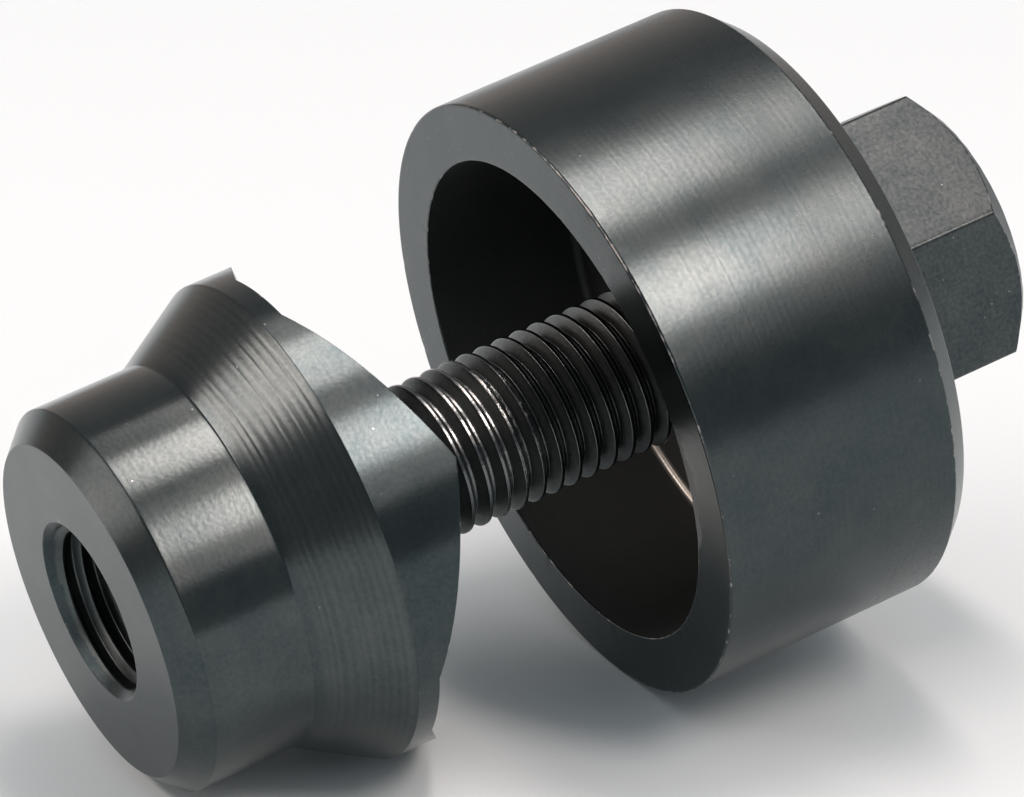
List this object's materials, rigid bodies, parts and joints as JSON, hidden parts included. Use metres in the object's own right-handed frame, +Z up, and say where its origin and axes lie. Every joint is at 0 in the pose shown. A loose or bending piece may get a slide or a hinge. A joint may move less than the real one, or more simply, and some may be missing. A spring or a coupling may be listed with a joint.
{
  "type": "screw punch",
  "caption": "Screw punch for round holes in sheet metal: a tipped punch drawn into a cup die by a hexagon head screw.",
  "frame": {"origin": "middle of the tool's footprint box, on the bench that it lies on", "axes": "+X runs from the punch to the screw's head in plan, +Z is up, +Y completes a right-handed frame; the tool's own axis climbs 11.75 degrees from the punch to the head, because it lies on the die's front edge and on the narrower punch"},
  "size_m": [0.063, 0.0384, 0.0408],
  "materials": {
    "die_steel": "black oxide over turned steel, satin, bright where the rim is worn",
    "punch_steel": "black oxide over turned and ground steel, satin",
    "screw_steel": "black oxide, oiled, with a slightly rough hexagon"
  },
  "bodies": {
    "die_body": {"die_cup": "die_steel"},
    "punch_body": {"punch": "punch_steel"},
    "screw_body": {"draw_screw": "screw_steel"}
  },
  "joints": [
    {"name": "screw_turn", "type": "hinge", "parent": "die_body", "child": "screw_body", "pos_m": [0.00226, 0, 0.01878], "axis": [-0.979, 0, -0.2037], "range_deg": [-1801, 6654]},
    {"name": "punch_travel", "type": "slide", "parent": "die_body", "child": "punch_body", "axis": [0.979, 0, 0.2037], "range_m": [-0.00625, 0.0231]}
  ],
  "couplings": [
    {"joint": "screw_turn", "follows": "punch_travel", "rad_per_m": 5026.5}
  ]
}
